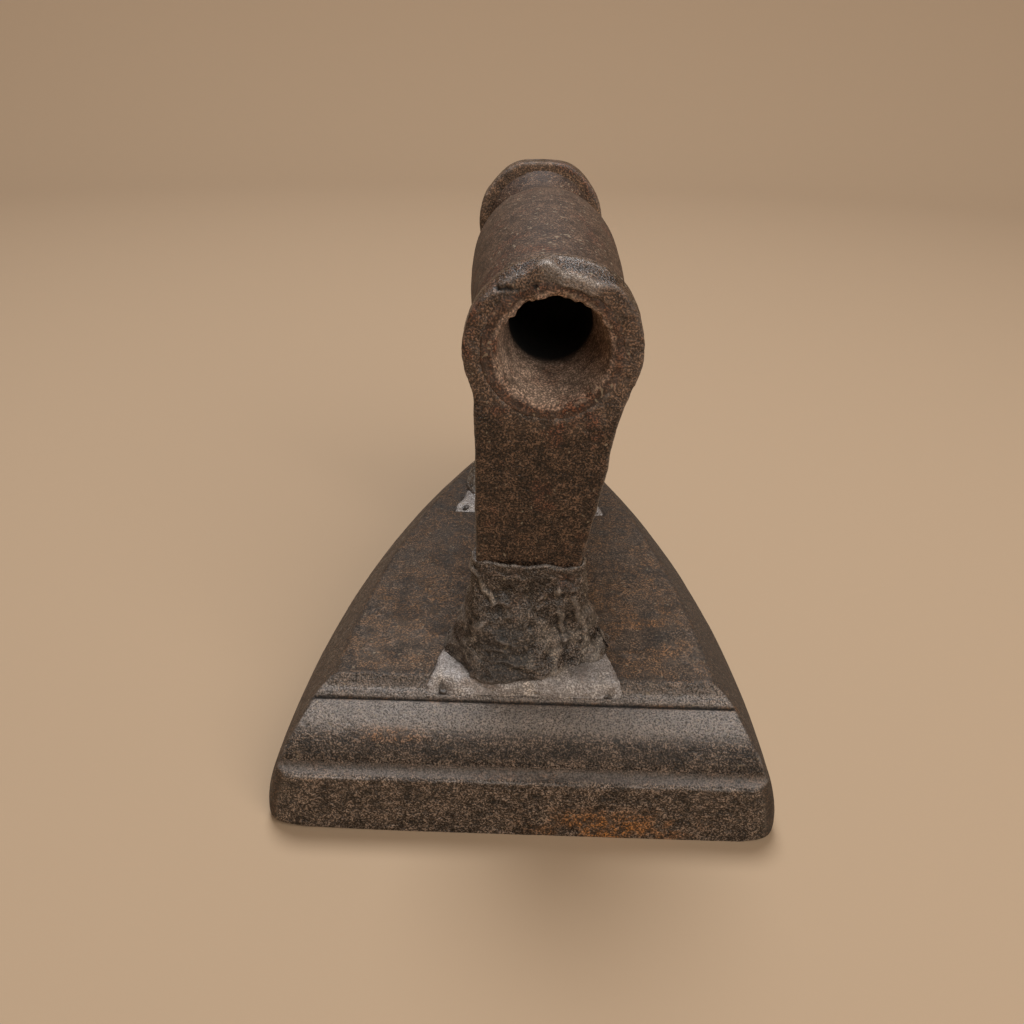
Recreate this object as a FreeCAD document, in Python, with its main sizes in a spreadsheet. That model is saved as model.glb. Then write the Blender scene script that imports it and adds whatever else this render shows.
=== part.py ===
"""Solid flat iron with a hollow barrel grip on two forged legs.

Millimetres.  +Z is up and z = 0 is the sole.  +Y points to the toe, +X to the right.
The origin is in the middle of the sole's length and width.
Heights are measured from the sole and distances along the iron from the heel face.
"""
import FreeCAD, Part
import Sketcher
import math
import os

Vector = FreeCAD.Vector
Rotation = FreeCAD.Rotation
Placement = FreeCAD.Placement

START, END = 1, 2  # ends of a sketch's curve
RIGHT, LEFT = 1, -1  # sides of the way round an outline

DRIVING_SIZES = [
    # body: an arch in plan, both sides being arcs of one radius
    ("flank_radius", 286.0, "plan radius of each side at the sole"),
    ("flank_centre", 0.5, "from the heel face to the widest section"),
    ("sole_half_width", 51.9, "half the width at that section"),
    ("toe_radius", 6.0, "rounding of the ridge at the toe"),
    ("heel_corner_radius", 4.5, "upright corners of the heel band"),
    ("body_height", 29.3, "top plane of the body"),
    ("shoulder_inset", 13.9, "how far the sides lean in by the top plane"),
    ("flank_bulge", 37.0, "radius of the sides' upright curve"),
    # heel moulding, from the sole up
    ("band_height", 14.5, "plain upright band"),
    ("band_arris", 0.6, "bevel on the band's upper edge"),
    ("ledge_depth", 2.5, "flat ledge on top of the band"),
    ("ledge_rise", 0.3, "slope of the ledge"),
    ("ovolo_depth", 8.4, "quarter round above the ledge, front to back"),
    ("ovolo_height", 10.3, "quarter round, bottom to top"),
    ("ovolo_radius", 10.4, "quarter round"),
    ("quirk_depth", 0.8, "narrow groove between quarter round and bead"),
    ("quirk_width", 0.8, "the same groove"),
    ("bead_width", 1.2, "bead above the groove, front to back"),
    ("bead_height", 2.0, "bead from the groove's floor up"),
    ("bead_radius", 1.3, "round of the bead"),
    ("top_edge", 14.3, "from the heel face to the top plane's edge"),
    # handle
    ("eye_radius", 15.0, "outside of the ring at the top of each leg"),
    ("rear_eye_side", 3.3, "centre of the rear eye, to the right of the middle"),
    ("front_eye_side", 1.0, "the same for the front eye"),
    ("rear_eye_height", 98.8, "centre of the rear eye"),
    ("front_eye_height", 97.8, "centre of the front eye"),
    ("strap_thickness", 5.5, "legs and eyes"),
    ("rear_face", 12.0, "from the heel face to the rear eye's outer face"),
    ("front_face", 109.1, "from the heel face to the front eye's outer face"),
    ("strap_bend", 13.0, "from the eye's centre down to where the leg starts to lean"),
    ("strap_lean", 8.4, "how far the leg leans in between the bend and the body"),
    ("strap_left", 9.85, "left edge of the legs, from the middle"),
    ("strap_right", 13.8, "right edge of the legs at the eye"),
    ("strap_foot_right", 10.3, "right edge of the legs at the collar"),
    ("left_flare", 12.0, "radius between the leg's left edge and the eye"),
    ("right_flare", 40.0, "radius between the leg's right edge and the eye"),
    ("tang_depth", 12.5, "how deep the leg goes into the body"),
    ("tang_flare", 2.2, "how much each side of the tang spreads"),
    ("collar_height", 54.8, "top of the metal run in around the legs' feet"),
    # grip
    ("bore_radius", 7.5, "straight hole through the grip"),
    ("mouth_depth", 15.0, "how deep each end of the hole is opened out"),
    ("rear_mouth_radius", 9.45, "hole at the rear face"),
    ("front_mouth_radius", 8.8, "hole at the front face"),
    ("rear_spigot_radius", 11.8, "grip inside the rear eye"),
    ("front_spigot_radius", 10.0, "grip inside the front eye"),
    ("rear_neck_radius", 12.5, "grip against the rear eye"),
    ("front_neck_radius", 12.6, "grip against the front eye"),
    ("belly_radius", 15.2, "thickest part of the grip"),
    ("belly_place", 50.0, "from the rear face to the thickest part"),
    ("turn_radius", 10.9, "grip where its round back turns into the hollow behind the front eye"),
    ("turn_place", 76.0, "from the rear face to that turn"),
    ("spigot_clearance", 0.05, "between grip and eye, on the radius"),
    ("shoulder_gap", 0.35, "between the eyes' inner faces and the grip's shoulders"),
    # sockets, plugs and collars; the wide edge of both sockets is towards the heel
    ("socket_depth", 15.0, "depth of the sockets in the body"),
    ("socket_length", 22.0, "sockets along the iron"),
    ("socket_wide", 19.4, "half width at the heel side"),
    ("socket_narrow", 13.5, "half width at the toe side"),
    ("rear_socket_place", 12.3, "from the heel face to the rear socket"),
    ("front_socket_place", 80.5, "from the heel face to the front socket"),
    ("pin_radius", 0.8, "small pins in the plugs"),
    ("pin_length", 9.0, "small pins in the plugs"),
    ("pin_side", 16.2, "pins from the middle"),
    ("rear_pin_place", 13.1, "from the heel face to the rear pins"),
    ("front_pin_place", 82.6, "from the heel face to the front pins"),
    ("collar_base_half_width", 17.4, "collar on the body"),
    ("collar_base_half_length", 9.6, "collar on the body"),
    ("collar_top_margin", 0.9, "metal outside the strap at the collar's top"),
]


class Size:
    """A number and the spreadsheet formula that it comes from."""

    def __init__(self, value, formula=None):
        self.value = float(value)
        self.formula = formula or repr(float(value))

    def _with(self, other, sign, value):
        return Size(value, f"({self.formula} {sign} {other.formula})")

    def __add__(self, other):
        other = as_size(other)
        return self._with(other, "+", self.value + other.value)

    def __sub__(self, other):
        other = as_size(other)
        return self._with(other, "-", self.value - other.value)

    def __mul__(self, other):
        other = as_size(other)
        return self._with(other, "*", self.value * other.value)

    def __truediv__(self, other):
        other = as_size(other)
        return self._with(other, "/", self.value / other.value)

    def __neg__(self):
        return Size(0.0) - self


def as_size(number):
    return number if isinstance(number, Size) else Size(number)


def hypotenuse_side(hypotenuse, side):
    """The other short side of a right triangle."""
    square = hypotenuse * hypotenuse - side * side
    return Size(math.sqrt(square.value), f"sqrt({square.formula})")


doc = FreeCAD.newDocument("flat_iron")
sheet = doc.addObject("Spreadsheet::Sheet", "Sizes")
SIZES = {}
for row, (alias, number, note) in enumerate(DRIVING_SIZES, start=1):
    sheet.set(f"A{row}", alias.replace("_", " "))
    sheet.set(f"B{row}", str(number))
    sheet.set(f"C{row}", note)
    sheet.setAlias(f"B{row}", alias)
    SIZES[alias] = Size(number, f"Sizes.{alias}")
doc.recompute()


def size(alias):
    return SIZES[alias]


def bind(item, name, quantity):
    """Tie one property of an object to the spreadsheet."""
    item.setExpression(name, as_size(quantity).formula)


def place(item, x=0.0, y=0.0, z=0.0):
    """Put an object somewhere and keep the place tied to the spreadsheet."""
    quantities = [as_size(number) for number in (x, y, z)]
    item.Placement = Placement(Vector(*[quantity.value for quantity in quantities]), Rotation())
    for axis, quantity in zip("xyz", quantities):
        bind(item, f".Placement.Base.{axis}", quantity)


def new_body(name):
    return doc.addObject("PartDesign::Body", name)


def new_sketch(body, name, plane, height=None):
    """A sketch on one of the body's own origin planes, lifted by height."""
    sketch = body.newObject("Sketcher::SketchObject", name)
    support = [item for item in body.Origin.OriginFeatures if item.Role == plane][0]
    sketch.AttachmentSupport = [(support, "")]
    sketch.MapMode = "FlatFace"
    if height is not None:
        sketch.AttachmentOffset = Placement(Vector(0, 0, height.value), Rotation())
        bind(sketch, ".AttachmentOffset.Base.z", height)
    return sketch


def fix_point(sketch, curve, end, corner):
    """Tie a curve's end to a place measured from the sketch's origin."""
    for kind, quantity in zip(("DistanceX", "DistanceY"), corner):
        index = sketch.addConstraint(Sketcher.Constraint(kind, -1, 1, curve, end, quantity.value))
        sketch.setExpression(f"Constraints[{index}]", quantity.formula)


def arc_middle(start, finish, radius, side, long_way):
    """The middle of the arc between two points that bulges to one side of the way between them."""
    way = finish - start
    half = way.Length / 2
    from_centre = math.sqrt(radius ** 2 - half ** 2)
    bulge = radius + from_centre if long_way else radius - from_centre
    return (start + finish) / 2 + Vector(way.y, -way.x, 0).normalize() * bulge * side


def outline(sketch, corners, arcs=None):
    """A closed outline through corners.

    arcs gives, for the side that starts at a corner's number, its radius, which side of the
    way round it bulges to (RIGHT or LEFT) and, if it is more than half a circle, True.
    """
    arcs = arcs or {}
    corners = [(as_size(x), as_size(y)) for x, y in corners]
    points = [Vector(x.value, y.value, 0) for x, y in corners]
    ends = []
    for number, start in enumerate(points):
        finish = points[(number + 1) % len(points)]
        if number not in arcs:
            curve = sketch.addGeometry(Part.LineSegment(start, finish), False)
            ends.append((curve, START, END))
            continue
        radius, side, *long_way = arcs[number]
        middle = arc_middle(start, finish, radius.value, side, bool(long_way))
        # a sketch's arcs run anticlockwise
        first, last = (start, finish) if side == RIGHT else (finish, start)
        curve = sketch.addGeometry(Part.ArcOfCircle(first, middle, last), False)
        ends.append((curve, START, END) if side == RIGHT else (curve, END, START))
        index = sketch.addConstraint(Sketcher.Constraint("Radius", curve, radius.value))
        sketch.setExpression(f"Constraints[{index}]", radius.formula)
    for number, (curve, start_end, _) in enumerate(ends):
        fix_point(sketch, curve, start_end, corners[number])
        before, _, before_end = ends[number - 1]
        sketch.addConstraint(Sketcher.Constraint("Coincident", before, before_end, curve, start_end))


def pad(body, sketch, length, symmetric=False):
    feature = body.newObject("PartDesign::Pad", body.Name + "_pad")
    feature.Profile = sketch
    feature.Midplane = symmetric
    bind(feature, "Length", length)


def revolve(body, sketch, axis):
    feature = body.newObject("PartDesign::Revolution", body.Name + "_turned")
    feature.Profile = sketch
    feature.ReferenceAxis = (sketch, [axis])
    feature.Angle = 360.0


def combine(kind, name, *items):
    """A boolean of two items (Cut, Common) or of many (MultiFuse, MultiCommon)."""
    result = doc.addObject("Part::" + kind, name)
    if kind.startswith("Multi"):
        result.Shapes = list(items)
    else:
        result.Base, result.Tool = items
    return result


# ---------------------------------------------------------------- body, before its sockets
flank_offset = size("flank_radius") - size("sole_half_width")
toe_centre = size("flank_centre") + hypotenuse_side(size("flank_radius") - size("toe_radius"),
                                                    flank_offset)
overall_length = toe_centre + size("toe_radius")
heel = -overall_length / 2


def flank(name):
    """A turned disc whose rim is the body's right side."""
    body = new_body(name)
    sketch = new_sketch(body, name + "_section", "XZ_Plane")
    rim = size("flank_radius")
    top = size("body_height")
    corners = [(0, 0), (rim, 0), (rim - size("shoulder_inset"), top), (0, top)]
    outline(sketch, corners, {1: (size("flank_bulge"), RIGHT)})
    revolve(body, sketch, "V_Axis")
    place(body, -flank_offset, heel + size("flank_centre"), 0)
    return body


def plain_block():
    """A box from the heel face to beyond the toe, as high as the body."""
    block = doc.addObject("Part::Box", "plain_block")
    width = size("sole_half_width") * 2 + 8
    bind(block, "Width", overall_length + 5)
    bind(block, "Length", width)
    bind(block, "Height", size("body_height"))
    place(block, -width / 2, heel, 0)
    return block


def heel_block():
    """A bar across the iron with the heel's moulding along its rear."""
    body = new_body("heel_block")
    sketch = new_sketch(body, "heel_section", "YZ_Plane")
    band = size("band_height")
    arris = size("band_arris")
    ledge = size("ledge_depth")
    ovolo_foot = band + size("ledge_rise")
    ovolo_back = ledge + size("ovolo_depth")
    ovolo_top = ovolo_foot + size("ovolo_height")
    quirk_floor = ovolo_top - size("quirk_depth")
    bead_rear = ovolo_back + size("quirk_width")
    bead_front = bead_rear + size("bead_width")
    beyond_toe = overall_length + 5
    outline(sketch, [
        (0, 0), (0, band - arris), (arris, band), (ledge, ovolo_foot),
        (ovolo_back, ovolo_top), (ovolo_back, quirk_floor), (bead_rear, quirk_floor),
        (bead_front, quirk_floor + size("bead_height")), (size("top_edge"), size("body_height")),
        (beyond_toe, size("body_height")), (beyond_toe, 0)],
        {3: (size("ovolo_radius"), LEFT), 6: (size("bead_radius"), LEFT)})
    pad(body, sketch, size("sole_half_width") * 2 + 8, symmetric=True)
    place(body, 0, heel, 0)
    return body


right_flank = flank("right_flank")
left_flank = doc.addObject("Part::Mirroring", "left_flank")
left_flank.Source = right_flank
left_flank.Normal = Vector(1, 0, 0)
arch = combine("MultiCommon", "arch", right_flank, left_flank, plain_block())
doc.recompute()


def edges_where(shape, test):
    return [number for number, edge in enumerate(shape.Edges, start=1)
            if test(edge.valueAt((edge.FirstParameter + edge.LastParameter) / 2), edge)]


def is_toe_ridge(middle, edge):
    return abs(middle.x) < 0.01 and middle.y > 0 and 2 < middle.z < size("body_height").value - 2


def is_heel_corner(middle, edge):
    return abs(middle.y - heel.value) < 0.01 and abs(middle.x) > 35 and edge.Length > 10


def rounded(name, base, rounds):
    """Round the edges that each test picks, by each radius."""
    result = doc.addObject("Part::Fillet", name)
    result.Base = base
    edges = []
    for test, radius in rounds:
        found = edges_where(base.Shape, test)
        assert found, "no edge to round for " + name
        edges += [(number, radius.value, radius.value) for number in found]
    result.Edges = edges
    return result


rounded_arch = rounded("rounded_arch", arch, [(is_toe_ridge, size("toe_radius")),
                                             (is_heel_corner, size("heel_corner_radius"))])
moulded_arch = combine("Common", "moulded_arch", rounded_arch, heel_block())


# ---------------------------------------------------------------- sockets and pins
def socket(name, distance):
    """The tapered hole for a leg's foot, cut from above."""
    body = new_body(name)
    sketch = new_sketch(body, name + "_plan", "XY_Plane")
    wide, narrow = size("socket_wide"), size("socket_narrow")
    length = size("socket_length")
    outline(sketch, [(-wide, 0), (wide, 0), (narrow, length), (-narrow, length)])
    pad(body, sketch, size("socket_depth") + 5)
    place(body, 0, heel + distance, size("body_height") - size("socket_depth"))
    return body


def pin_blanks(name, distance):
    """Two upright pins, still too long at the top."""
    pins = []
    for side in (-1, 1):
        pin = doc.addObject("Part::Cylinder", f"{name}_{'left' if side < 0 else 'right'}")
        bind(pin, "Radius", size("pin_radius"))
        bind(pin, "Height", size("pin_length") + 5)
        place(pin, size("pin_side") * side, heel + distance,
              size("body_height") - size("pin_length"))
        pins.append(pin)
    return combine("MultiFuse", name, *pins)


sockets = {"rear": socket("rear_socket", size("rear_socket_place")),
           "front": socket("front_socket", size("front_socket_place"))}
pin_pairs = {"rear": pin_blanks("rear_pin_blanks", size("rear_pin_place")),
             "front": pin_blanks("front_pin_blanks", size("front_pin_place"))}
both_sockets = combine("MultiFuse", "both_sockets", *sockets.values())
cast_body = combine("Cut", "cast_body", moulded_arch, both_sockets)

# ---------------------------------------------------------------- grip
grip_length = size("front_face") - size("rear_face")
INWARD = {"rear": 1, "front": -1}  # from each leg towards the middle of the grip
eye_centres = {
    "rear": (size("rear_eye_side"), heel + size("rear_face"), size("rear_eye_height")),
    "front": (size("front_eye_side"), heel + size("front_face"), size("front_eye_height"))}
rear_centre, front_centre = [Vector(*[part.value for part in eye_centres[end]])
                             for end in ("rear", "front")]
grip_turn = Rotation(Vector(0, 1, 0), front_centre - rear_centre)


def along_grip(item):
    """Lay an object that was made along +Y on the line through both eyes."""
    place(item, *eye_centres["rear"])
    item.Placement.Rotation = grip_turn


def grip_tube():
    """A turned barrel, hollow from end to end, with both mouths opened out."""
    body = new_body("grip_tube")
    sketch = new_sketch(body, "grip_section", "YZ_Plane")
    rear_shoulder = size("strap_thickness") + size("shoulder_gap")
    front_shoulder = grip_length - rear_shoulder
    belly, belly_place = size("belly_radius"), size("belly_place")

    def barrel_arc(neck, run):
        """Radius of the arc that leaves the belly level and reaches the neck."""
        drop = belly - neck
        return (run * run + drop * drop) / (drop * 2)

    rear_arc = barrel_arc(size("rear_neck_radius"), belly_place - rear_shoulder)
    turn, turn_place = size("turn_radius"), size("turn_place")
    front_arc = barrel_arc(turn, turn_place - belly_place)
    # the hollow's arc leaves the barrel's arc without a corner
    along, out = front_shoulder - turn_place, size("front_neck_radius") - turn
    beside = (along * (turn_place - belly_place) + out * (front_arc - (belly - turn))) / front_arc
    hollow_arc = (along * along + out * out) / (beside * 2)
    corners = [
        (0, size("rear_mouth_radius")),
        (size("mouth_depth"), size("bore_radius")),
        (grip_length - size("mouth_depth"), size("bore_radius")),
        (grip_length, size("front_mouth_radius")),
        (grip_length, size("front_spigot_radius")),
        (front_shoulder, size("front_spigot_radius")),
        (front_shoulder, size("front_neck_radius")),
        (turn_place, turn),
        (belly_place, belly),
        (rear_shoulder, size("rear_neck_radius")),
        (rear_shoulder, size("rear_spigot_radius")),
        (0, size("rear_spigot_radius"))]

    arcs = {6: (hollow_arc, LEFT), 7: (front_arc, RIGHT), 8: (rear_arc, RIGHT)}
    outline(sketch, corners, arcs)
    revolve(body, sketch, "H_Axis")
    along_grip(body)
    return body


grip = grip_tube()


# ---------------------------------------------------------------- legs
def leg_front_view(end):
    """The strap and its eye as seen from the heel, as a bar along the iron."""
    body = new_body(end + "_leg_front_view")
    sketch = new_sketch(body, end + "_leg_face", "XZ_Plane")
    eye_x, _, eye_z = eye_centres[end]
    radius = size("eye_radius")
    left, right = size("strap_left"), size("strap_right")
    foot_right = size("strap_foot_right")
    left_flare, right_flare = size("left_flare"), size("right_flare")
    surface = size("body_height")
    tang_end = surface - size("tang_depth")
    flare = size("tang_flare")
    # centres of the two flare arcs, which touch the eye's circle from outside
    left_away = eye_x + left + left_flare
    right_away = right + right_flare - eye_x
    left_drop = hypotenuse_side(radius + left_flare, left_away)
    right_drop = hypotenuse_side(radius + right_flare, right_away)
    left_share = radius / (radius + left_flare)
    right_share = radius / (radius + right_flare)
    corners = [
        (-left - flare, tang_end), (foot_right + flare, tang_end),
        (foot_right, surface), (foot_right, size("collar_height")),
        (right, eye_z - right_drop),
        (eye_x + right_away * right_share, eye_z - right_drop * right_share),
        (eye_x - left_away * left_share, eye_z - left_drop * left_share),
        (-left, eye_z - left_drop), (-left, surface)]
    outline(sketch, corners, {
        4: (right_flare, LEFT), 5: (radius, RIGHT, True), 6: (left_flare, LEFT)})
    pad(body, sketch, overall_length, symmetric=True)
    return body


def strap_faces(end, height):
    """Where the leg's outer and inner faces are along the iron, at a height below its bend."""
    _, outer_face, eye_z = eye_centres[end]
    bend = eye_z - size("strap_bend")
    lean_rate = size("strap_lean") / (bend - size("body_height"))
    lean = (bend - height) * lean_rate
    return (outer_face + lean * INWARD[end],
            outer_face + (lean + size("strap_thickness")) * INWARD[end])


def leg_side_view(end):
    """The strap as seen from the side: upright at the eye, leaning in towards its foot."""
    body = new_body(end + "_leg_side_view")
    sketch = new_sketch(body, end + "_leg_edge", "YZ_Plane")
    eye_z = eye_centres[end][2]
    bend = eye_z - size("strap_bend")
    tang_end = size("body_height") - size("tang_depth")
    above_eye = eye_z + size("eye_radius") + 5
    outer_bend, inner_bend = strap_faces(end, bend)
    outer_tang, inner_tang = strap_faces(end, tang_end)
    outline(sketch, [
        (outer_bend, above_eye), (outer_bend, bend), (outer_tang, tang_end),
        (inner_tang, tang_end), (inner_bend, bend), (inner_bend, above_eye)])
    pad(body, sketch, size("sole_half_width") * 2, symmetric=True)
    return body


def eye_hole(end):
    """A cylinder on the grip's line that passes through one eye."""
    hole = doc.addObject("Part::Cylinder", end + "_eye_hole")
    bind(hole, "Radius", size(end + "_spigot_radius") + size("spigot_clearance"))
    bind(hole, "Height", size("strap_thickness") * 4)
    start = eye_centres[end]
    along = (front_centre - rear_centre).normalize()
    step = size("strap_thickness").value * 2
    hole.Placement = Placement(Vector(*[part.value for part in start]) - along * step,
                               Rotation(Vector(0, 0, 1), along))
    return hole


def leg(end):
    blank = combine("MultiCommon", end + "_leg_blank", leg_front_view(end), leg_side_view(end))
    return combine("Cut", end + "_leg", blank, eye_hole(end))


legs = {end: leg(end) for end in ("rear", "front")}


# ---------------------------------------------------------------- collars, plugs and pins
# share of the collar's rise, and how much of its spread is left there
COLLAR_FLARE = ((0.0, 1.0), (0.16, 0.66), (0.5, 0.2), (1.0, 0.0))


def rounded_rectangle(sketch, centre, half_x, half_y, corner):
    x, y = centre
    left, right, near, far = x - half_x, x + half_x, y - half_y, y + half_y
    outline(sketch, [
        (left + corner, near), (right - corner, near), (right, near + corner),
        (right, far - corner), (right - corner, far), (left + corner, far),
        (left, far - corner), (left, near + corner)],
        {side: (corner, RIGHT) for side in (1, 3, 5, 7)})


def collar(end):
    """Metal that flares from the strap's width down to a wide foot on the body."""
    body = new_body(end + "_collar_blank")
    middle_x = (size("strap_foot_right") - size("strap_left")) / 2
    strap_half = (size("strap_foot_right") + size("strap_left")) / 2
    margin = size("collar_top_margin")
    top_x, top_y = strap_half + margin, size("strap_thickness") / 2 + margin
    rise = size("collar_height") - size("body_height")
    spread_x = size("collar_base_half_width") - top_x
    spread_y = size("collar_base_half_length") - top_y
    sections = []
    for share, spread in COLLAR_FLARE:
        height = size("body_height") + rise * share
        sketch = new_sketch(body, f"{end}_collar_section_{int(share * 100)}", "XY_Plane", height)
        outer, inner = strap_faces(end, height)
        half_x, half_y = top_x + spread_x * spread, top_y + spread_y * spread
        rounded_rectangle(sketch, (middle_x, (outer + inner) / 2), half_x, half_y, half_y * 0.8)
        sections.append(sketch)
    loft = body.newObject("PartDesign::AdditiveLoft", end + "_collar_loft")
    loft.Profile = sections[0]
    loft.Sections = sections[1:]
    return combine("Cut", end + "_foot_collar", body, legs[end])


def plug(end):
    """Metal that fills the socket around the tang and the pins, flush with the body."""
    filling = combine("Common", end + "_socket_filling", moulded_arch, sockets[end])
    inserts = combine("MultiFuse", end + "_plug_inserts", legs[end], pin_pairs[end])
    return combine("Cut", end + "_socket_plug", filling, inserts)


def plug_pins(end):
    return combine("Common", end + "_plug_pins", moulded_arch, pin_pairs[end])


nodes = [cast_body, grip]
for end in ("rear", "front"):
    nodes += [legs[end], collar(end), plug(end), plug_pins(end)]

# ---------------------------------------------------------------- check and write
doc.recompute()
for item in doc.Objects:
    failed = {"Invalid", "Error"} & set(item.State)
    assert not failed, f"{item.Name}: {item.State}"
for node in nodes:
    node.Label = node.Name
    shape = node.Shape
    assert not shape.isNull() and shape.isValid() and shape.Volume > 0, node.Label
    box = shape.BoundBox
    print(f"{node.Label:20s} {len(shape.Solids)} solids, {shape.Volume / 1000:8.2f} cm3, "
          f"x {box.XLength:.1f} y {box.YLength:.1f} z {box.ZLength:.1f}")

os.makedirs("parts", exist_ok=True)
for node in nodes:
    node.Shape.exportStep(f"parts/{node.Label}.step")
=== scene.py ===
"""Looks of the solid flat iron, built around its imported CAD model.

Metres, in the CAD model's frame: +Z is up, z = 0 is the sole, +Y points to the toe and
+X to the right seen from the heel.  Each CAD node is copied, remeshed finely and worn by
seeded noise, and gets a procedural iron finish.

A whole number that ends a noise or pits call, or comes before a fractal's octaves, is its
seed.  Reliefs are in millimetres.  Masks and paint shares go from 0 to 1.
"""
import itertools
import math
from types import SimpleNamespace

import bpy
import numpy as np
from mathutils import Matrix, Vector


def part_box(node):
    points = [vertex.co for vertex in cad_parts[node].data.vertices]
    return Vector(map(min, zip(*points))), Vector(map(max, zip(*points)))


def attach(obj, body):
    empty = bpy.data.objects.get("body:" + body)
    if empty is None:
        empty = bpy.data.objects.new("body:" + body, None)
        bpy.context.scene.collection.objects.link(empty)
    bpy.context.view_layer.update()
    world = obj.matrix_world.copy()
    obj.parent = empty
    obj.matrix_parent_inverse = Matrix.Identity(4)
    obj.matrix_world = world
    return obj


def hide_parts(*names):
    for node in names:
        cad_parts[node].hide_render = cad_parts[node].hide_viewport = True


MM = 0.001
TINY = 1e-6
QUICK_COARSENING = 1.0

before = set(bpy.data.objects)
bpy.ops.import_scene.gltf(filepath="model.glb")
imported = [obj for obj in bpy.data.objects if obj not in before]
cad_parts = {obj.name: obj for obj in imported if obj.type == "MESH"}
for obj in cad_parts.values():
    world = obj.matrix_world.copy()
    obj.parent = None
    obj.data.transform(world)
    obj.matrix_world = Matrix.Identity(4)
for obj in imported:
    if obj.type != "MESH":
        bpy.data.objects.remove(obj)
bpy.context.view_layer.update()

BODY_LOW, BODY_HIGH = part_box("cast_body")
HEEL = BODY_LOW.y
BODY_TOP = BODY_HIGH.z


# ---------------------------------------------------------------- seeded noise on arrays
AXIS_PRIMES = (0x8DA6B343, 0xD8163841, 0xCB1AB31F)
SEED_STEP, SEED_START = 7919, 17
MIXING = ((15, 0x2C1B3C6D), (12, 0x297A2D39))
LAST_SHIFT = 15
NOISE_GAIN = 1.7  # brings the noise to about -1 to 1
OCTAVE_STEP = 2.03
GRADIENTS = np.random.default_rng(11).normal(size=(256, 3))
GRADIENTS /= np.linalg.norm(GRADIENTS, axis=1)[:, None]


def lattice(cell, seed):
    """A well mixed whole number for each lattice cell."""
    mixed = np.full(len(cell), seed * SEED_STEP + SEED_START, np.uint32)
    for axis, prime in enumerate(AXIS_PRIMES):
        mixed += cell[:, axis].astype(np.uint32) * np.uint32(prime)
    for shift, factor in MIXING:
        mixed ^= mixed >> np.uint32(shift)
        mixed *= np.uint32(factor)
    return mixed ^ (mixed >> np.uint32(LAST_SHIFT))


def noise(points, size, seed):
    """Smooth noise, about -1 to 1, whose lumps are about size across."""
    scaled = points / size
    cell = np.floor(scaled).astype(np.int64)
    local = scaled - cell
    fade = local ** 3 * (local * (local * 6 - 15) + 10)
    total = np.zeros(len(points))
    for corner in itertools.product((0, 1), repeat=3):
        offset = local - corner
        gradient = GRADIENTS[lattice(cell + corner, seed) & 255]
        weight = np.prod(np.where(corner, fade, 1 - fade), axis=1)
        total += weight * np.einsum("ij,ij->i", offset, gradient)
    return total * NOISE_GAIN


def fractal(points, size, seed, octaves=3, gain=0.5):
    """Noise with finer noise on it."""
    total = np.zeros(len(points))
    for octave in range(octaves):
        total += noise(points, size / OCTAVE_STEP ** octave, seed + 31 * octave) * gain ** octave
    return total


def pits(points, spacing, radius, share, seed):
    """0 to 1: how deep each point is in a round pit.  A share of the cells has one."""
    cell = np.floor(points / spacing).astype(np.int64)
    depth = np.zeros(len(points))
    for shift in itertools.product((-1, 0, 1), repeat=3):
        near = cell + shift
        mixed = lattice(near, seed)
        inside = np.stack([mixed & 255, (mixed >> 8) & 255, (mixed >> 16) & 255], axis=1) / 255
        centre = (near + 0.2 + 0.6 * inside) * spacing
        chosen = (lattice(near, seed + 1) & 1023) < share * 1024
        reach = radius * (0.5 + (lattice(near, seed + 2) & 255) / 255)
        away = np.linalg.norm(points - centre, axis=1) / reach
        depth = np.maximum(depth, np.where(chosen, 1 - ramp(away, 0.35, 1.0), 0))
    return depth


def ramp(value, start, end):
    """Smooth step from 0 at start to 1 at end, whichever way round they are."""
    share = np.clip((value - start) / (end - start), 0, 1)
    return share * share * (3 - 2 * share)


def hump(value, centre, half_width):
    """Smooth bump: 1 at centre and 0 half_width away."""
    return 1 - ramp(np.abs(value - centre), 0, half_width)


def unit(vectors):
    return vectors / np.maximum(np.linalg.norm(vectors, axis=1), TINY)[:, None]


def along_path(points, path):
    """Distance of 2-D points from a line through several 2-D corners."""
    nearest = np.full(len(points), np.inf)
    for start, end in zip(path, path[1:]):
        start, run = np.array(start), np.subtract(end, start)
        share = np.clip((points - start) @ run / (run @ run), 0, 1)
        nearest = np.minimum(nearest, np.linalg.norm(points - start - share[:, None] * run, axis=1))
    return nearest


# ---------------------------------------------------------------- detail meshes
WELD_DISTANCE = 0.002 * MM
SMOOTHING = 0.6  # share of the way to the neighbours' mean in one round
PROUD_ROUNDS = 4
EDGE_ROUNDS = 9
COARSE_THINNING = 0.94
BODY_VOXEL, BODY_TRIANGLES = 0.32 * MM, 195000
LEG_VOXEL, LEG_TRIANGLES = 0.35 * MM, 120000
GRIP_VOXEL, GRIP_TRIANGLES = 0.38 * MM, 150000
COLLAR_VOXEL, COLLAR_TRIANGLES = 0.3 * MM, 70000
PLUG_VOXEL, PLUG_TRIANGLES = 0.36 * MM, 40000
PIN_VOXEL, PIN_TRIANGLES = 0.12 * MM, 5000
LEG_SEED, COLLAR_SEED, PLUG_SEED, SEED_SPACING = 40, 100, 120, 10


def rounds_at(rounds):
    """Smoothing rounds that reach as far on a quick mesh, whose points are further apart."""
    return int(rounds / QUICK_COARSENING ** 2)


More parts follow.
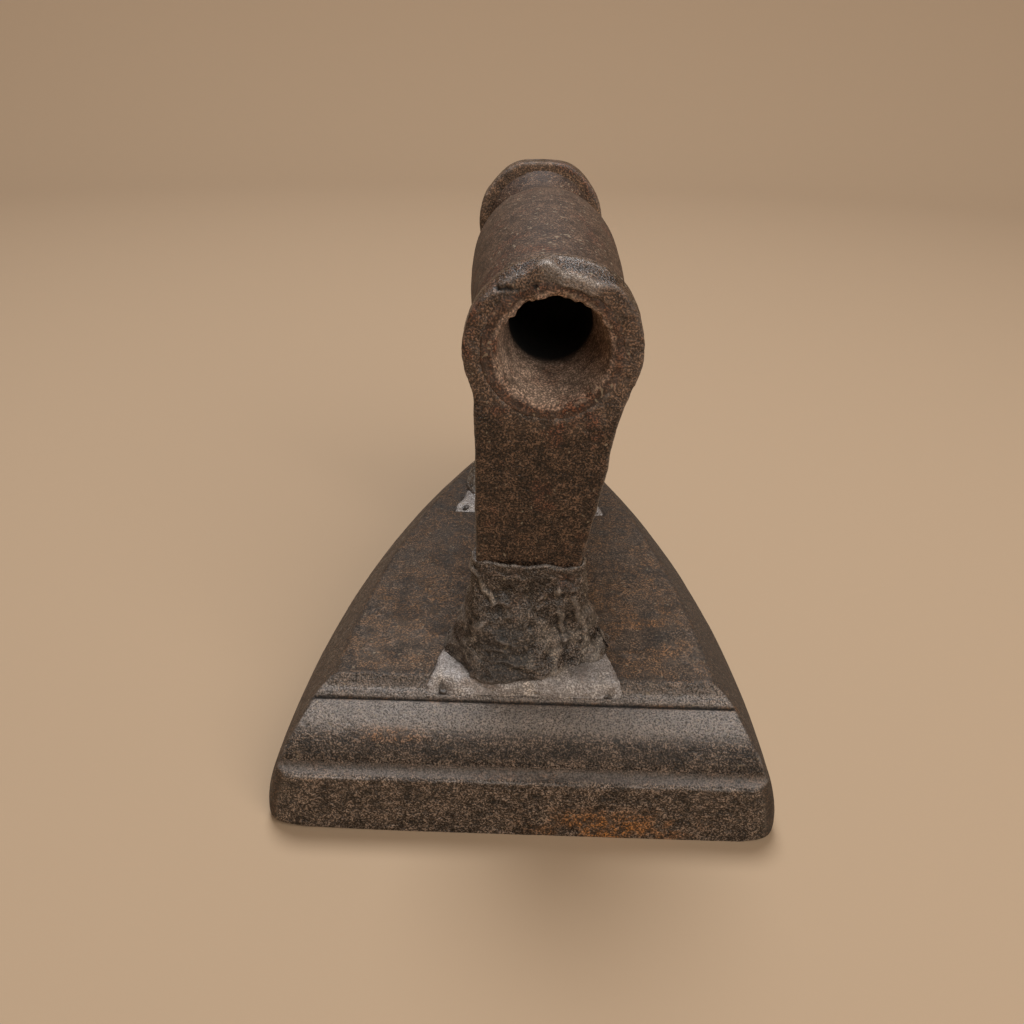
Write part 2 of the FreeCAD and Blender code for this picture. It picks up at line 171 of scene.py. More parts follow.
class Surface:
    """A CAD node's surface as a fine even mesh that can be worn and pitted."""

    def __init__(self, node, voxel):
        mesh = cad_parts[node].data.copy()
        mesh.materials.clear()
        self.node = node
        self.piece = bpy.data.objects.new(node + "_detail", mesh)
        bpy.context.scene.collection.objects.link(self.piece)
        weld = self.piece.modifiers.new("weld", "WELD")
        weld.merge_threshold = WELD_DISTANCE
        remesh = self.piece.modifiers.new("remesh", "REMESH")
        remesh.mode = "VOXEL"
        remesh.voxel_size = voxel * QUICK_COARSENING
        self.apply_modifiers()
        self.read()

    def apply_modifiers(self):
        depsgraph = bpy.context.evaluated_depsgraph_get()
        mesh = bpy.data.meshes.new_from_object(self.piece.evaluated_get(depsgraph))
        before = self.piece.data
        self.piece.modifiers.clear()
        self.piece.data = mesh
        bpy.data.meshes.remove(before)

    def read(self):
        mesh = self.piece.data
        self.points = np.empty((len(mesh.vertices), 3))
        mesh.vertices.foreach_get("co", self.points.reshape(-1))
        edges = np.empty(len(mesh.edges) * 2, np.int32)
        mesh.edges.foreach_get("vertices", edges)
        self.edges = edges.reshape(-1, 2)
        self.valence = np.bincount(edges, minlength=len(self.points))

    def write(self):
        self.piece.data.vertices.foreach_set("co", self.points.astype(np.float32).reshape(-1))
        self.piece.data.update()

    def normals(self):
        self.write()
        found = np.empty((len(self.points), 3), np.float32)
        self.piece.data.vertex_normals.foreach_get("vector", found.reshape(-1))
        return found.astype(float)

    def neighbour_mean(self, values):
        """Mean of each point's neighbours, for one number or three per point."""
        first, second = self.edges.T
        columns = values.reshape(len(values), -1)
        total = np.empty_like(columns)
        for index in range(columns.shape[1]):
            column = columns[:, index]
            total[:, index] = np.bincount(first, column[second], len(column))
            total[:, index] += np.bincount(second, column[first], len(column))
        return (total / self.valence[:, None]).reshape(values.shape)

    def smooth(self, rounds, strength=1.0):
        """Wear the surface down; strength is one number or one for each point."""
        factor = np.broadcast_to(strength, len(self.points))[:, None] * SMOOTHING
        for _ in range(rounds):
            self.points += (self.neighbour_mean(self.points) - self.points) * factor

    def raise_by(self, height):
        """Move each point along its normal."""
        self.points += self.normals() * height[:, None]

    def convexity(self, rounds):
        """How far each point stands proud of its smoothed place, in metres, and those places."""
        kept, normals = self.points, self.normals()
        self.points = kept.copy()
        self.smooth(rounds)
        smoothed, self.points = self.points, kept
        return np.einsum("ij,ij->i", kept - smoothed, normals), smoothed

    def store(self, name, values):
        mesh = self.piece.data
        layer = mesh.attributes.get(name) or mesh.attributes.new(name, "FLOAT", "POINT")
        layer.data.foreach_set("value", values.astype(np.float32))

    def paint(self, **shares):
        """Store each point's rust, its polish and painted highlight, its dust and painted light, and
        its soot and painted shade; what isn't given is 0.
        """
        for name in ("rusted", "polished", "dusty", "sooty"):
            share = np.broadcast_to(shares.get(name, 0.0), len(self.points))
            self.store(name, np.clip(share, 0, 1))

    def triangles(self):
        return sum(len(face.vertices) - 2 for face in self.piece.data.polygons)

    def thin(self, triangles, where=None):
        """Decimate to a number of triangles, only at some of the points if where is given."""
        count = self.triangles()
        if count <= triangles:
            return
        decimate = self.piece.modifiers.new("decimate", "DECIMATE")
        decimate.ratio = triangles / count
        if where is not None:
            group = self.piece.vertex_groups.new(name="thin")
            group.add(np.flatnonzero(where).tolist(), 1.0, "REPLACE")
            decimate.vertex_group = group.name
        self.apply_modifiers()
        self.piece.vertex_groups.clear()

    def finish(self, material, slot, triangles, coarse=None):
        """Write the mesh, thin it to a number of triangles and hand it over.  coarse marks points
        where the surface is plain and needs few triangles."""
        self.write()
        for name, rounds in (("proud", PROUD_ROUNDS), ("edge", EDGE_ROUNDS)):
            self.store(name, self.convexity(rounds)[0] / MM)
        self.write()
        if coarse is not None:
            self.thin(int(self.triangles() * (1 - COARSE_THINNING * coarse.mean())), coarse)
        self.thin(triangles)
        mesh = self.piece.data
        mesh.shade_smooth()
        mesh.materials.clear()
        mesh.materials.append(material)
        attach(self.piece, "root")
        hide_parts(self.node)


# ---------------------------------------------------------------- materials
def linear(display, brightness=1.0):
    """A display colour, 0 to 255, made brighter or darker, as the shader's linear colour."""
    parts = [brightness * channel / 255 for channel in display]
    return tuple(c / 12.92 if c <= 0.04045 else ((c + 0.055) / 1.055) ** 2.4 for c in parts) + (1.0,)


class Finish:
    """Small helper that builds one node material."""

    def __init__(self, name):
        self.material = bpy.data.materials.new(name)
        self.material.use_nodes = True
        self.nodes = self.material.node_tree.nodes
        self.links = self.material.node_tree.links
        self.nodes.clear()
        output = self.nodes.new("ShaderNodeOutputMaterial")
        self.shader = self.nodes.new("ShaderNodeBsdfPrincipled")
        self.links.new(self.shader.outputs[0], output.inputs["Surface"])
        self.place = self.nodes.new("ShaderNodeTexCoord").outputs["Object"]

    def feed(self, socket, value):
        if isinstance(value, bpy.types.NodeSocket):
            self.links.new(value, socket)
        else:
            socket.default_value = value

    def noise(self, size, detail=3.0):
        """Noise from 0 to 1 with lumps of that size in metres."""
        node = self.nodes.new("ShaderNodeTexNoise")
        node.inputs["Scale"].default_value = 1 / size
        node.inputs["Detail"].default_value = detail
        node.inputs["Roughness"].default_value = 0.6
        self.links.new(self.place, node.inputs["Vector"])
        return node.outputs["Fac"]

    def attribute(self, name):
        node = self.nodes.new("ShaderNodeAttribute")
        node.attribute_name = name
        return node.outputs["Fac"]

    def math(self, operation, first, second):
        node = self.nodes.new("ShaderNodeMath")
        node.operation = operation
        self.feed(node.inputs[0], first)
        self.feed(node.inputs[1], second)
        return node.outputs[0]

    def window(self, value, start, end, low=0.0, high=1.0):
        """Smooth step of value from start to end, between low and high."""
        node = self.nodes.new("ShaderNodeMapRange")
        node.interpolation_type = "SMOOTHSTEP"
        self.feed(node.inputs["Value"], value)
        for name, number in (("From Min", start), ("From Max", end), ("To Min", low), ("To Max", high)):
            node.inputs[name].default_value = number
        return node.outputs["Result"]

    def mix(self, share, first, second):
        """Two colours mixed by a share from 0 to 1."""
        node = self.nodes.new("ShaderNodeMix")
        node.data_type = "RGBA"
        self.feed(node.inputs[0], share)
        self.feed(node.inputs[6], first)
        self.feed(node.inputs[7], second)
        return node.outputs[2]

    def blend(self, share, first, second):
        """Two numbers mixed by a share from 0 to 1."""
        node = self.nodes.new("ShaderNodeMix")
        self.feed(node.inputs[0], share)
        self.feed(node.inputs[2], first)
        self.feed(node.inputs[3], second)
        return node.outputs[0]

    def bump(self, height, distance, strength=1.0, normal=None):
        node = self.nodes.new("ShaderNodeBump")
        node.inputs["Distance"].default_value = distance
        node.inputs["Strength"].default_value = strength
        self.links.new(height, node.inputs["Height"])
        if normal:
            self.links.new(normal, node.inputs["Normal"])
        return node.outputs[0]


GRIME = linear((17, 12, 9))
# Near black, for soot and for painted shade in the bore, the grooves and on shaded faces.
SOOT_AND_SHADE = linear((5, 4, 3))
FLECK = linear((150, 134, 112))
GRAIN = 0.34 * MM
GRIT = 3.6 * GRAIN
MOTTLE = 2.8 * MM
BLOTCH = 11 * MM
FLECK_SPACING = 0.8 * MM
DULL_ROUGHNESS, WORN_ROUGHNESS, SOOT_ROUGHNESS = 0.88, 0.36, 0.95
OXIDE_METALLIC, WORN_METALLIC = 0.08, 0.7


class Iron(Finish):
    """Old bare iron: a dark oxide speckled with a lighter one, rust in blotches, dirt in hollows
    and metal where the surface stands proud.  The mesh's attributes place rust, dust and painted
    light, polish and painted highlight, and soot and painted shade."""

    def __init__(self, name):
        super().__init__(name)
        self.blotches = self.noise(BLOTCH, 4.0)
        self.mottle = self.noise(MOTTLE, 4.0)
        self.speckle = self.noise(GRAIN)
        self.grit = self.noise(GRIT)
        self.proud = self.attribute("proud")
        self.crisp = self.math("MULTIPLY", self.window(self.speckle, 0.44, 0.69),
                               self.window(self.grit, 0.3, 0.6, 0.5, 1.25))

    def oxide(self, dark, light):
        """Colour of the bare skin."""
        patchy = self.window(self.mottle, 0.36, 0.62)
        tone = self.math("MULTIPLY", self.crisp, self.blend(patchy, 0.55, 1.1))
        return self.mix(self.blend(0.08, tone, patchy), linear(dark), linear(light))

    def speckled(self, display, low, high):
        """A colour whose grains go from low to high times its brightness."""
        return self.mix(self.crisp, linear(display, low), linear(display, high))

    def dust_and_light_share(self):
        return self.math("MULTIPLY", self.attribute("dusty"),
                         self.window(self.mottle, 0.36, 0.56, 0.45, 1.0))

    def rust_share(self, start):
        rusty = self.blend(0.45, self.blotches, self.grit)
        scattered = self.window(rusty, start, start + 0.12, 0.0, 0.75)
        placed = self.math("MULTIPLY", self.attribute("rusted"),
                           self.window(self.grit, 0.36, 0.58, 0.2, 1.0))
        return self.math("MAXIMUM", scattered, placed)

    def worn_and_highlight_share(self, edge_wear, rust):
        """Bare metal on edges and high spots, less where it has rusted, and polish and painted
        highlight where the mesh asks for them.
        """
        edge = self.math("MULTIPLY", self.window(self.attribute("edge"), 0.05, 0.18, 0.0, edge_wear),
                         self.window(self.grit, 0.42, 0.56))
        high_spots = self.window(self.proud, 0.03, 0.09, 0.0, 0.5 * edge_wear)
        worn = self.math("MAXIMUM", edge, high_spots)
        worn = self.math("MULTIPLY", worn, self.window(rust, 0.2, 0.8, 1.0, 0.2))
        rub_and_highlight = self.math("MULTIPLY", self.attribute("polished"),
                          self.window(self.speckle, 0.35, 0.55, 0.35, 1.0))
        return self.math("MAXIMUM", worn, rub_and_highlight)

    def gloss(self, roughness, dull, worn, soot):
        varied = self.math("ADD", self.blend(dull, roughness, DULL_ROUGHNESS),
                           self.window(self.speckle, 0.3, 0.7, -0.07, 0.09))
        rough = self.blend(worn, varied, WORN_ROUGHNESS)
        self.feed(self.shader.inputs["Roughness"], self.blend(soot, rough, SOOT_ROUGHNESS))
        metal = self.blend(worn, OXIDE_METALLIC, WORN_METALLIC)
        self.feed(self.shader.inputs["Metallic"], self.blend(soot, metal, 0.0))

    def roughen(self, depth):
        """Bump of the grain and of the coarser grit under it."""
        fine = self.bump(self.speckle, depth)
        self.feed(self.shader.inputs["Normal"], self.bump(self.grit, depth * 1.6, 0.8, fine))


def iron(name, dark, light, rust, dust=(92, 77, 61), worn=(150, 141, 134), rust_start=0.60,
         roughness=0.46, ior=1.7, grain_depth=0.15 * MM, edge_wear=0.5, fleck_start=0.78):
    """An iron material from its display colours; a lower start gives more rust or flecks."""
    finish = Iron(name)
    dust_and_light_share = finish.dust_and_light_share()
    # Dust colour; on the grip's mouths and on the eyes' inner and right-hand faces it is also painted
    # light.
    colour = finish.mix(dust_and_light_share, finish.oxide(dark, light), finish.speckled(dust, 0.75, 1.5))
    rust_share = finish.rust_share(rust_start)
    colour = finish.mix(rust_share, colour, finish.speckled(rust, 0.45, 1.2))
    colour = finish.mix(finish.window(finish.proud, -0.01, -0.08, 0.0, 0.8), colour, GRIME)
    worn_and_highlight_share = finish.worn_and_highlight_share(edge_wear, rust_share)
    # The worn colour goes on rubbed edges and high spots, and also serves as painted highlight.
    colour = finish.mix(worn_and_highlight_share, colour, linear(worn))
    fleck_share = finish.window(finish.noise(FLECK_SPACING, 0.0), fleck_start, fleck_start + 0.05,
                                0.0, 0.6)
    colour = finish.mix(fleck_share, colour, FLECK)
    # Soot and painted shade darken the colour to near black.
    soot = finish.attribute("sooty")
    finish.feed(finish.shader.inputs["Base Color"], finish.mix(soot, colour, SOOT_AND_SHADE))

    dull = finish.math("MAXIMUM", finish.math("MAXIMUM", rust_share, dust_and_light_share), fleck_share)
    finish.gloss(roughness, dull, worn_and_highlight_share, soot)
    finish.shader.inputs["IOR"].default_value = ior
    finish.roughen(grain_depth)
    return finish.material


# ---------------------------------------------------------------- stage, lights and camera
CAMERA_PLACE = Vector((-0.000284, -0.221523, 0.156232))
CAMERA_YAW = -0.017986
CAMERA_PITCH = 0.519049
CAMERA_ROLL = 0.018227
CAMERA_LENS = 34.72
CAMERA_SENSOR = 36.0
CAMERA_CLIP = 0.005
FLOOR_MIDDLE = Vector((0.0, -0.55, 0.0))
FLOOR_RADIUS = 1.35
FLOOR_DISC_RADIUS = 0.5
SWEEP_RADIUS = 0.25
SWEEP_STEPS = 16
WALL_HEIGHT = 2.5
FLOOR_SEGMENTS = 96
WORLD_COLOUR = (1.0, 0.98, 0.96, 1.0)
WORLD_STRENGTH = 0.22
LIGHTS = [  # name, place, target, diameter, watts and colour
    ("overhead", (-0.06, 0.22, 0.92), (0, 0, 0.03), 0.38, 7.4, (0.90, 0.95, 1.0)),
    ("high_front", (0.40, -0.75, 0.75), (0, 0, 0.05), 0.9, 9.0, (1.0, 0.95, 0.88))]


def make_camera():
    data = bpy.data.cameras.new("camera")
    data.sensor_width = CAMERA_SENSOR
    data.lens = CAMERA_LENS
    data.clip_start = CAMERA_CLIP
    camera = bpy.data.objects.new("camera", data)
    forward = Vector((math.sin(CAMERA_YAW) * math.cos(CAMERA_PITCH),
                      math.cos(CAMERA_YAW) * math.cos(CAMERA_PITCH), -math.sin(CAMERA_PITCH)))
    level = Vector((math.cos(CAMERA_YAW), -math.sin(CAMERA_YAW), 0.0))
    upright = level.cross(forward)
    right = math.cos(CAMERA_ROLL) * level + math.sin(CAMERA_ROLL) * upright
    up = math.cos(CAMERA_ROLL) * upright - math.sin(CAMERA_ROLL) * level
    turn = Matrix((right, up, -forward)).transposed().to_4x4()
    camera.matrix_world = Matrix.Translation(CAMERA_PLACE) @ turn
    bpy.context.scene.collection.objects.link(camera)
    bpy.context.scene.camera = camera


def make_light(name, place, target, size, watts, colour):
    data = bpy.data.lights.new(name, "AREA")
    data.shape = "DISK"
    data.size = size
    data.energy = watts
    data.color = colour
    light = bpy.data.objects.new(name, data)
    light.location = place
    light.rotation_euler = (Vector(target) - Vector(place)).to_track_quat("-Z", "Y").to_euler()
    bpy.context.scene.collection.objects.link(light)


def floor_profile():
    """Distance from the middle and height of each ring of the floor."""
    flat = FLOOR_RADIUS - SWEEP_RADIUS
    profile = [(FLOOR_DISC_RADIUS, 0.0), (flat, 0.0)]
    for step in range(1, SWEEP_STEPS + 1):
        angle = step / SWEEP_STEPS * math.pi / 2
        profile.append((flat + SWEEP_RADIUS * math.sin(angle),
                        SWEEP_RADIUS - SWEEP_RADIUS * math.cos(angle)))
    return profile + [(FLOOR_RADIUS, WALL_HEIGHT)]


def make_floor():
    """A pale round floor that sweeps up into a wall all round the iron, the lights and the camera."""
    profile = floor_profile()
    vertices = []
    for (out, up), segment in itertools.product(profile, range(FLOOR_SEGMENTS)):
        turn = 2 * math.pi * segment / FLOOR_SEGMENTS
        vertices.append(FLOOR_MIDDLE + Vector((out * math.cos(turn), out * math.sin(turn), up)))
    faces = [tuple(range(FLOOR_SEGMENTS))]
    for ring, segment in itertools.product(range(len(profile) - 1), range(FLOOR_SEGMENTS)):
        low, after = ring * FLOOR_SEGMENTS, (segment + 1) % FLOOR_SEGMENTS
        high = low + FLOOR_SEGMENTS
        faces.append((low + segment, high + segment, high + after, low + after))
    mesh = bpy.data.meshes.new("floor")
    mesh.from_pydata(vertices, [], faces)
    mesh.shade_smooth()
    floor = bpy.data.objects.new("floor", mesh)
    bpy.context.scene.collection.objects.link(floor)
    finish = Finish("pale_sheet")
    finish.shader.inputs["Base Color"].default_value = linear((170, 145, 118))
    finish.shader.inputs["Roughness"].default_value = 0.9
    mesh.materials.append(finish.material)


def make_world():
    world = bpy.data.worlds.new("studio")
    bpy.context.scene.world = world
    world.use_nodes = True
    background = world.node_tree.nodes["Background"]
    background.inputs["Color"].default_value = WORLD_COLOUR
    background.inputs["Strength"].default_value = WORLD_STRENGTH


# ---------------------------------------------------------------- body
GROOVE_BACK = 11.3 * MM  # from the heel face to the groove under the bead
GROOVE_HEIGHT = 24.3 * MM
BEAD_BACK = 12.1 * MM
BEAD_HEIGHT = 26.2 * MM
ARRIS_HEIGHT = 14.05 * MM
STRIP_EDGE_BACK = 14.3 * MM


def body_regions(normals, back, height):
    """Masks of the body's parts; back is the distance from the heel face."""
    at = SimpleNamespace()
    at.flank = ramp(np.maximum(np.abs(normals[:, 0]), normals[:, 1]), 0.35, 0.6)
    at.right_flank = ramp(normals[:, 0], 0.35, 0.6)
    at.band = ramp(back, 1.4 * MM, 0.7 * MM) * ramp(height, 15.0 * MM, 14.2 * MM)
    at.ledge = ramp(back, 3.4 * MM, 2.6 * MM) * ramp(height, 14.3 * MM, 14.6 * MM)
    at.ledge *= ramp(height, 16.4 * MM, 15.4 * MM)
    at.strip = ramp(height, 26.6 * MM, 27.4 * MM) * ramp(back, 14.6 * MM, 14.2 * MM)
    at.top = ramp(height, BODY_TOP - 1.0 * MM, BODY_TOP - 0.4 * MM) * ramp(normals[:, 2], 0.7, 0.9)
    at.sole = ramp(height, 1.0 * MM, 0.2 * MM)
    at.heel = ramp(back, 15 * MM, 12 * MM) * (1 - at.flank)
    at.border = np.maximum(hump(back, 15.2 * MM, 1.1 * MM) * at.top,
                           ramp(np.abs(normals[:, 0]), 0.02, 0.12) * at.top)
    at.arris = hump(height, ARRIS_HEIGHT, 0.34 * MM) * ramp(back, 0.8 * MM, 0.5 * MM)
    at.bead = ramp(np.hypot(back - BEAD_BACK, height - BEAD_HEIGHT), 0.62 * MM, 0.3 * MM)
    at.bead *= 1 - 0.6 * at.flank
    groove = np.hypot(back - GROOVE_BACK, height - GROOVE_HEIGHT)
    at.groove = ramp(groove, 1.6 * MM, 0.6 * MM)
    at.groove_bottom = ramp(groove, 1.1 * MM, 0.6 * MM) * (1 - at.flank)
    at.upper_heel = ramp(height, 20.5 * MM, 23.5 * MM) * at.heel
    at.lower_heel = hump(height, 19.5 * MM, 4 * MM) * at.heel
    return at


def body_relief(points, at):
    """Bumps, flat scale and pits of the cast skin, in millimetres."""
    grain_depth = 0.018 + 0.06 * at.band + 0.02 * at.heel + 0.045 * at.top - 0.008 * at.sole
    relief = 0.08 * noise(points, 19 * MM, 3) + 0.05 * noise(points, 7 * MM, 4)
    relief += 0.05 * at.band * noise(points, 3.5 * MM, 5)
    relief += grain_depth * fractal(points, 1.15 * MM, 6, 2, 0.7)
    relief += 0.07 * at.scale
    relief -= (0.12 * at.top + 0.12 * at.band) * pits(points, 2.4 * MM, 0.5 * MM, 0.35, 12)
    relief -= 0.05 * (1 - at.sole) * (1 - at.flank) * pits(points, 3.4 * MM, 0.6 * MM, 0.25, 15)
    relief *= 1 - 0.75 * at.sole
    return relief - 0.14 * at.border


def body_rust(places, at, across, back, height):
    """Rust in the grooves, along the foot of the band and in blotches on the top."""
    blotch = 0.5 + 0.5 * fractal(places, 6 * MM, 30, 3)
    rusted = 0.25 * at.ledge * ramp(blotch, 0.4, 0.8)
    rusted += 0.5 * at.groove * ramp(blotch, 0.45, 0.75)
    band_foot = at.band * hump(across, 18 * MM, 24 * MM) * ramp(height, 9.5 * MM, 4 * MM)
    rusted += band_foot * ramp(blotch, 0.2, 0.5)
    rusted += 0.7 * hump(across, -26 * MM, 10 * MM) * hump(height, 21.5 * MM, 2 * MM) * at.heel
    rusted += 0.2 * at.top * ramp(blotch, 0.3, 0.62)
    beside_foot = hump(across, 26 * MM, 9 * MM) * hump(back, 30 * MM, 12 * MM)
    return rusted + 0.4 * at.top * beside_foot * ramp(blotch, 0.4, 0.6)


def body_rub_and_highlight(places, at, back):
    """Rubbed metal on the arris, the ledge and the flaky scale, and painted highlight on the bead and
    on the upper half of the heel moulding.
    """
    streak = ramp(noise(places * (1, 3, 3), 5 * MM, 33), -0.35, 0.2)
    rub_and_highlight = 0.6 * at.arris * streak * (1 - at.corner) + 0.4 * at.bead * ramp(streak, -0.5, 0.6)
    rub_and_highlight += 0.65 * at.upper_heel * (1 - at.bead) * (1 - at.groove_bottom)
    return rub_and_highlight + 0.4 * at.ledge + 0.15 * at.scale * ramp(back, 45 * MM, 20 * MM)


# Soot in patches on the top and darker further from the heel on the top, and painted shade in the
# border groove, under the bead, on the lower half of the heel moulding and on the right flank.
def body_soot_and_shade(places, at, back):
    deep = ramp(fractal(places, 6 * MM, 35, 3), 0.05, 0.5)
    far = ramp(back, 40 * MM, 95 * MM)
    return np.max([0.35 * at.border, 0.6 * at.groove_bottom, 0.35 * at.lower_heel,
                   0.4 * deep * at.top, 0.42 * far * at.top, 0.3 * at.right_flank], axis=0)


def wear_body(surface):
    surface.smooth(2)
    points = surface.points
    across, back, height = points[:, 0].copy(), points[:, 1] - HEEL, points[:, 2].copy()
    corner = ramp(np.abs(across), 44 * MM, 49 * MM) * ramp(back, 7 * MM, 3 * MM)
    corner *= ramp(height, 6 * MM, 2 * MM)
    surface.smooth(rounds_at(40), corner)
    strip_edge = hump(back, STRIP_EDGE_BACK, 2.2 * MM) * ramp(height, 27.6 * MM, 28.4 * MM)
    surface.smooth(rounds_at(14), strip_edge)

    at = body_regions(surface.normals(), back, height)
    at.corner = corner
    at.scale = ramp(fractal(points, 4.5 * MM, 9, 3), 0.05, 0.2) * at.top
    surface.raise_by(body_relief(points, at) * MM)
    proud, places = surface.convexity(12)
    nicks = ramp(proud, 0.06 * MM, 0.2 * MM) * ramp(noise(places, 4.5 * MM, 21), 0.15, 0.5)
    surface.raise_by(-0.22 * MM * nicks * (1 - at.sole))
    worn_end = ramp(across, -22 * MM, -50 * MM) * ramp(height, 4 * MM, 0.5 * MM)
    surface.points[:, 2] += 0.6 * MM * worn_end * ramp(back, 8 * MM, 1 * MM)

    flaky = at.scale * (0.3 + 0.7 * ramp(back, 60 * MM, 20 * MM))
    surface.paint(rusted=body_rust(places, at, across, back, height),
                  polished=body_rub_and_highlight(places, at, back),
                  dusty=(0.8 * at.flank + (0.65 + 0.35 * flaky) * at.top + 0.4 * at.ledge
                         + 0.2 * at.strip),
                  sooty=body_soot_and_shade(places, at, back))


def make_body():
    surface = Surface("cast_body", BODY_VOXEL)
    wear_body(surface)
    material = iron("cast_iron", (12, 8, 6), (162, 139, 121), (176, 118, 62), dust=(68, 50, 33),
                    rust_start=0.63, roughness=0.23, ior=1.5, grain_depth=0.36 * MM)
    facing_down = surface.normals()[:, 2] < -0.9
    surface.finish(material, "body_iron", BODY_TRIANGLES, facing_down)


# ---------------------------------------------------------------- legs and grip
EYE_RADIUS = 15.0 * MM
SPIGOT_RADIUS = {"rear": 11.8 * MM, "front": 10.0 * MM}
MOUTH_RADIUS = {"rear": 9.45 * MM, "front": 8.8 * MM}
MOUTH_DEPTH = 15.0 * MM
# Light colour inside each eye: partly dust, partly painted light.
INNER_DUST_AND_LIGHT = {"rear": 0.65, "front": 0.9}
CRACK_DEPTH = 0.7  # mm
CRACK_SOOT = 0.7


def eye_centre(end):
    """Middle of an eye on its outer face."""
    low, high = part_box(end + "_leg")
    face = low.y if end == "rear" else high.y
    return Vector((high.x - EYE_RADIUS, face, high.z - EYE_RADIUS))


EYES = {end: eye_centre(end) for end in ("rear", "front")}


def eye_place(points, end):
    """Distance from the eye's axis, angle round it (0 is +X, 90 degrees is up) and depth behind
    its outer face."""
    centre = EYES[end]
    aside, above = points[:, 0] - centre.x, points[:, 2] - centre.z
    depth = (points[:, 1] - centre.y) * (1 if end == "rear" else -1)
    return np.hypot(aside, above), np.degrees(np.arctan2(above, aside)), depth


def push_radially(points, end, distance):
    """Move points away from an eye's axis."""
    centre = EYES[end]
    away = unit(points[:, [0, 2]] - (centre.x, centre.z))
    points[:, [0, 2]] += away * distance[:, None]


EYE_CRACK = [(-9.4, 10.4), (-8.0, 10.6), (-5.8, 10.3), (-3.2, 10.9)]  # mm from the axis


def eye_crack(points):
    """1 in the fissure at the upper left of the rear eye's outer face."""
    centre = EYES["rear"]
    place = (points[:, [0, 2]] - (centre.x, centre.z)) / MM
    depth = np.abs(points[:, 1] - centre.y)
    place += 0.25 * np.stack([noise(points, 1.8 * MM, 90), noise(points, 1.8 * MM, 91)], axis=1)
    broken = ramp(noise(points, 1.6 * MM, 92), -0.5, 0.3)
    return ramp(along_path(place, EYE_CRACK), 0.40, 0.10) * ramp(depth, 2.2 * MM, 1.2 * MM) * broken


def rear_eye_shave(angle, depth):
    """How far the rear eye's rim is worn in, in mm: two flats that meet in a peak at the top."""
    right_flat = ramp(angle, 96, 84) * ramp(angle, 46, 62) * np.clip(1 - depth / (3.2 * MM), 0, 1)
    left_flat = ramp(angle, 96, 112) * ramp(angle, 150, 132) * ramp(depth, 3.6 * MM, 0.4 * MM)
    shave = 2.1 * right_flat + 1.1 * left_flat - 0.5 * hump(angle, 48, 40) * ramp(depth, 1 * MM, 5 * MM)
    return shave - (0.25 * hump(angle, 180, 50) + 0.25 * hump(angle, -180, 50))


def front_eye_shave(angle):
    return 0.9 * hump(angle, 90, 30) + 0.25 * hump(angle, 140, 18) + 0.25 * hump(angle, 35, 20)


def rear_bevel_rub_and_highlight(crest, angle, depth):
    """Bright lines along both edges of the rear eye's right-hand flat, and a fainter brightening of the
    flat: rubbed metal and painted highlight.
    """
    edges = 0.5 * hump(depth, 3.1 * MM, 0.5 * MM) + 0.8 * hump(depth, 0.3 * MM, 0.5 * MM)
    return (0.14 + edges) * crest * ramp(angle, 99, 93) * ramp(angle, 50, 64)


def wear_leg(surface, end, seed):
    surface.smooth(7)
    points, rear = surface.points, end == "rear"
    height = points[:, 2].copy()
    radius, angle, depth = eye_place(points, end)
    ring = ramp(radius, EYE_RADIUS + 1.5 * MM, EYE_RADIUS - 0.5 * MM)
    outer = ring * ramp(radius, EYE_RADIUS - 4 * MM, EYE_RADIUS - 1.5 * MM)
    face = ring * ramp(depth, 1.2 * MM, 0.4 * MM)
    crest = outer * ramp(depth, 4.5 * MM, 3.5 * MM) * ramp(np.abs(angle - 90), 62, 50)

    shave = rear_eye_shave(angle, depth) if rear else front_eye_shave(angle)
    push_radially(points, end, -shave * MM * outer)
    wall = ramp(radius, SPIGOT_RADIUS[end] + 0.8 * MM, SPIGOT_RADIUS[end] + 0.3 * MM) * ring
    push_radially(points, end, -0.4 * MM * wall)

    relief = 0.12 * noise(points, 8 * MM, seed) + 0.07 * noise(points, 3.6 * MM, seed + 1)
    relief += (0.05 + 0.05 * face) * fractal(points, 1.2 * MM, seed + 2, 2, 0.7)
    relief += 0.13 * face * fractal(points, 3.0 * MM, seed + 4, 2)
    relief -= 0.12 * pits(points, 2.4 * MM, 0.5 * MM, 0.35, seed + 3)
    relief *= 1 - 0.75 * crest
    crack = eye_crack(points) if rear else np.zeros(len(points))
    surface.raise_by((relief - CRACK_DEPTH * crack) * MM)

    blotch = 0.5 + 0.5 * fractal(points, 7 * MM, seed + 5, 3)
    rusted = 0.5 * ramp(blotch, 0.6, 0.85) * ramp(height, 50 * MM, 75 * MM)
    rusted += 0.3 * face * ramp(blotch, 0.45, 0.75)
    # The top of the rim is painted bright: rubbed metal and painted highlight.
    rub_and_highlight = hump(depth, 0.9 * MM, 1.4 * MM) * outer * (hump(angle, 97, 8) + 0.35 * hump(angle, 122, 20))
    if rear:
        rub_and_highlight += rear_bevel_rub_and_highlight(crest, angle, depth)
    inner = ramp(depth, 4 * MM, 5 * MM) * ring * INNER_DUST_AND_LIGHT[end]
    # Dust on the eye's face, up to twice as much on its right-hand side as painted light, and a light
    # inner face that is partly dust and partly painted light.
    surface.paint(rusted=rusted * (1 - 0.8 * crest), polished=rub_and_highlight,
                  dusty=0.3 * face * (1 + hump(angle, 0, 90)) + inner, sooty=CRACK_SOOT * crack)


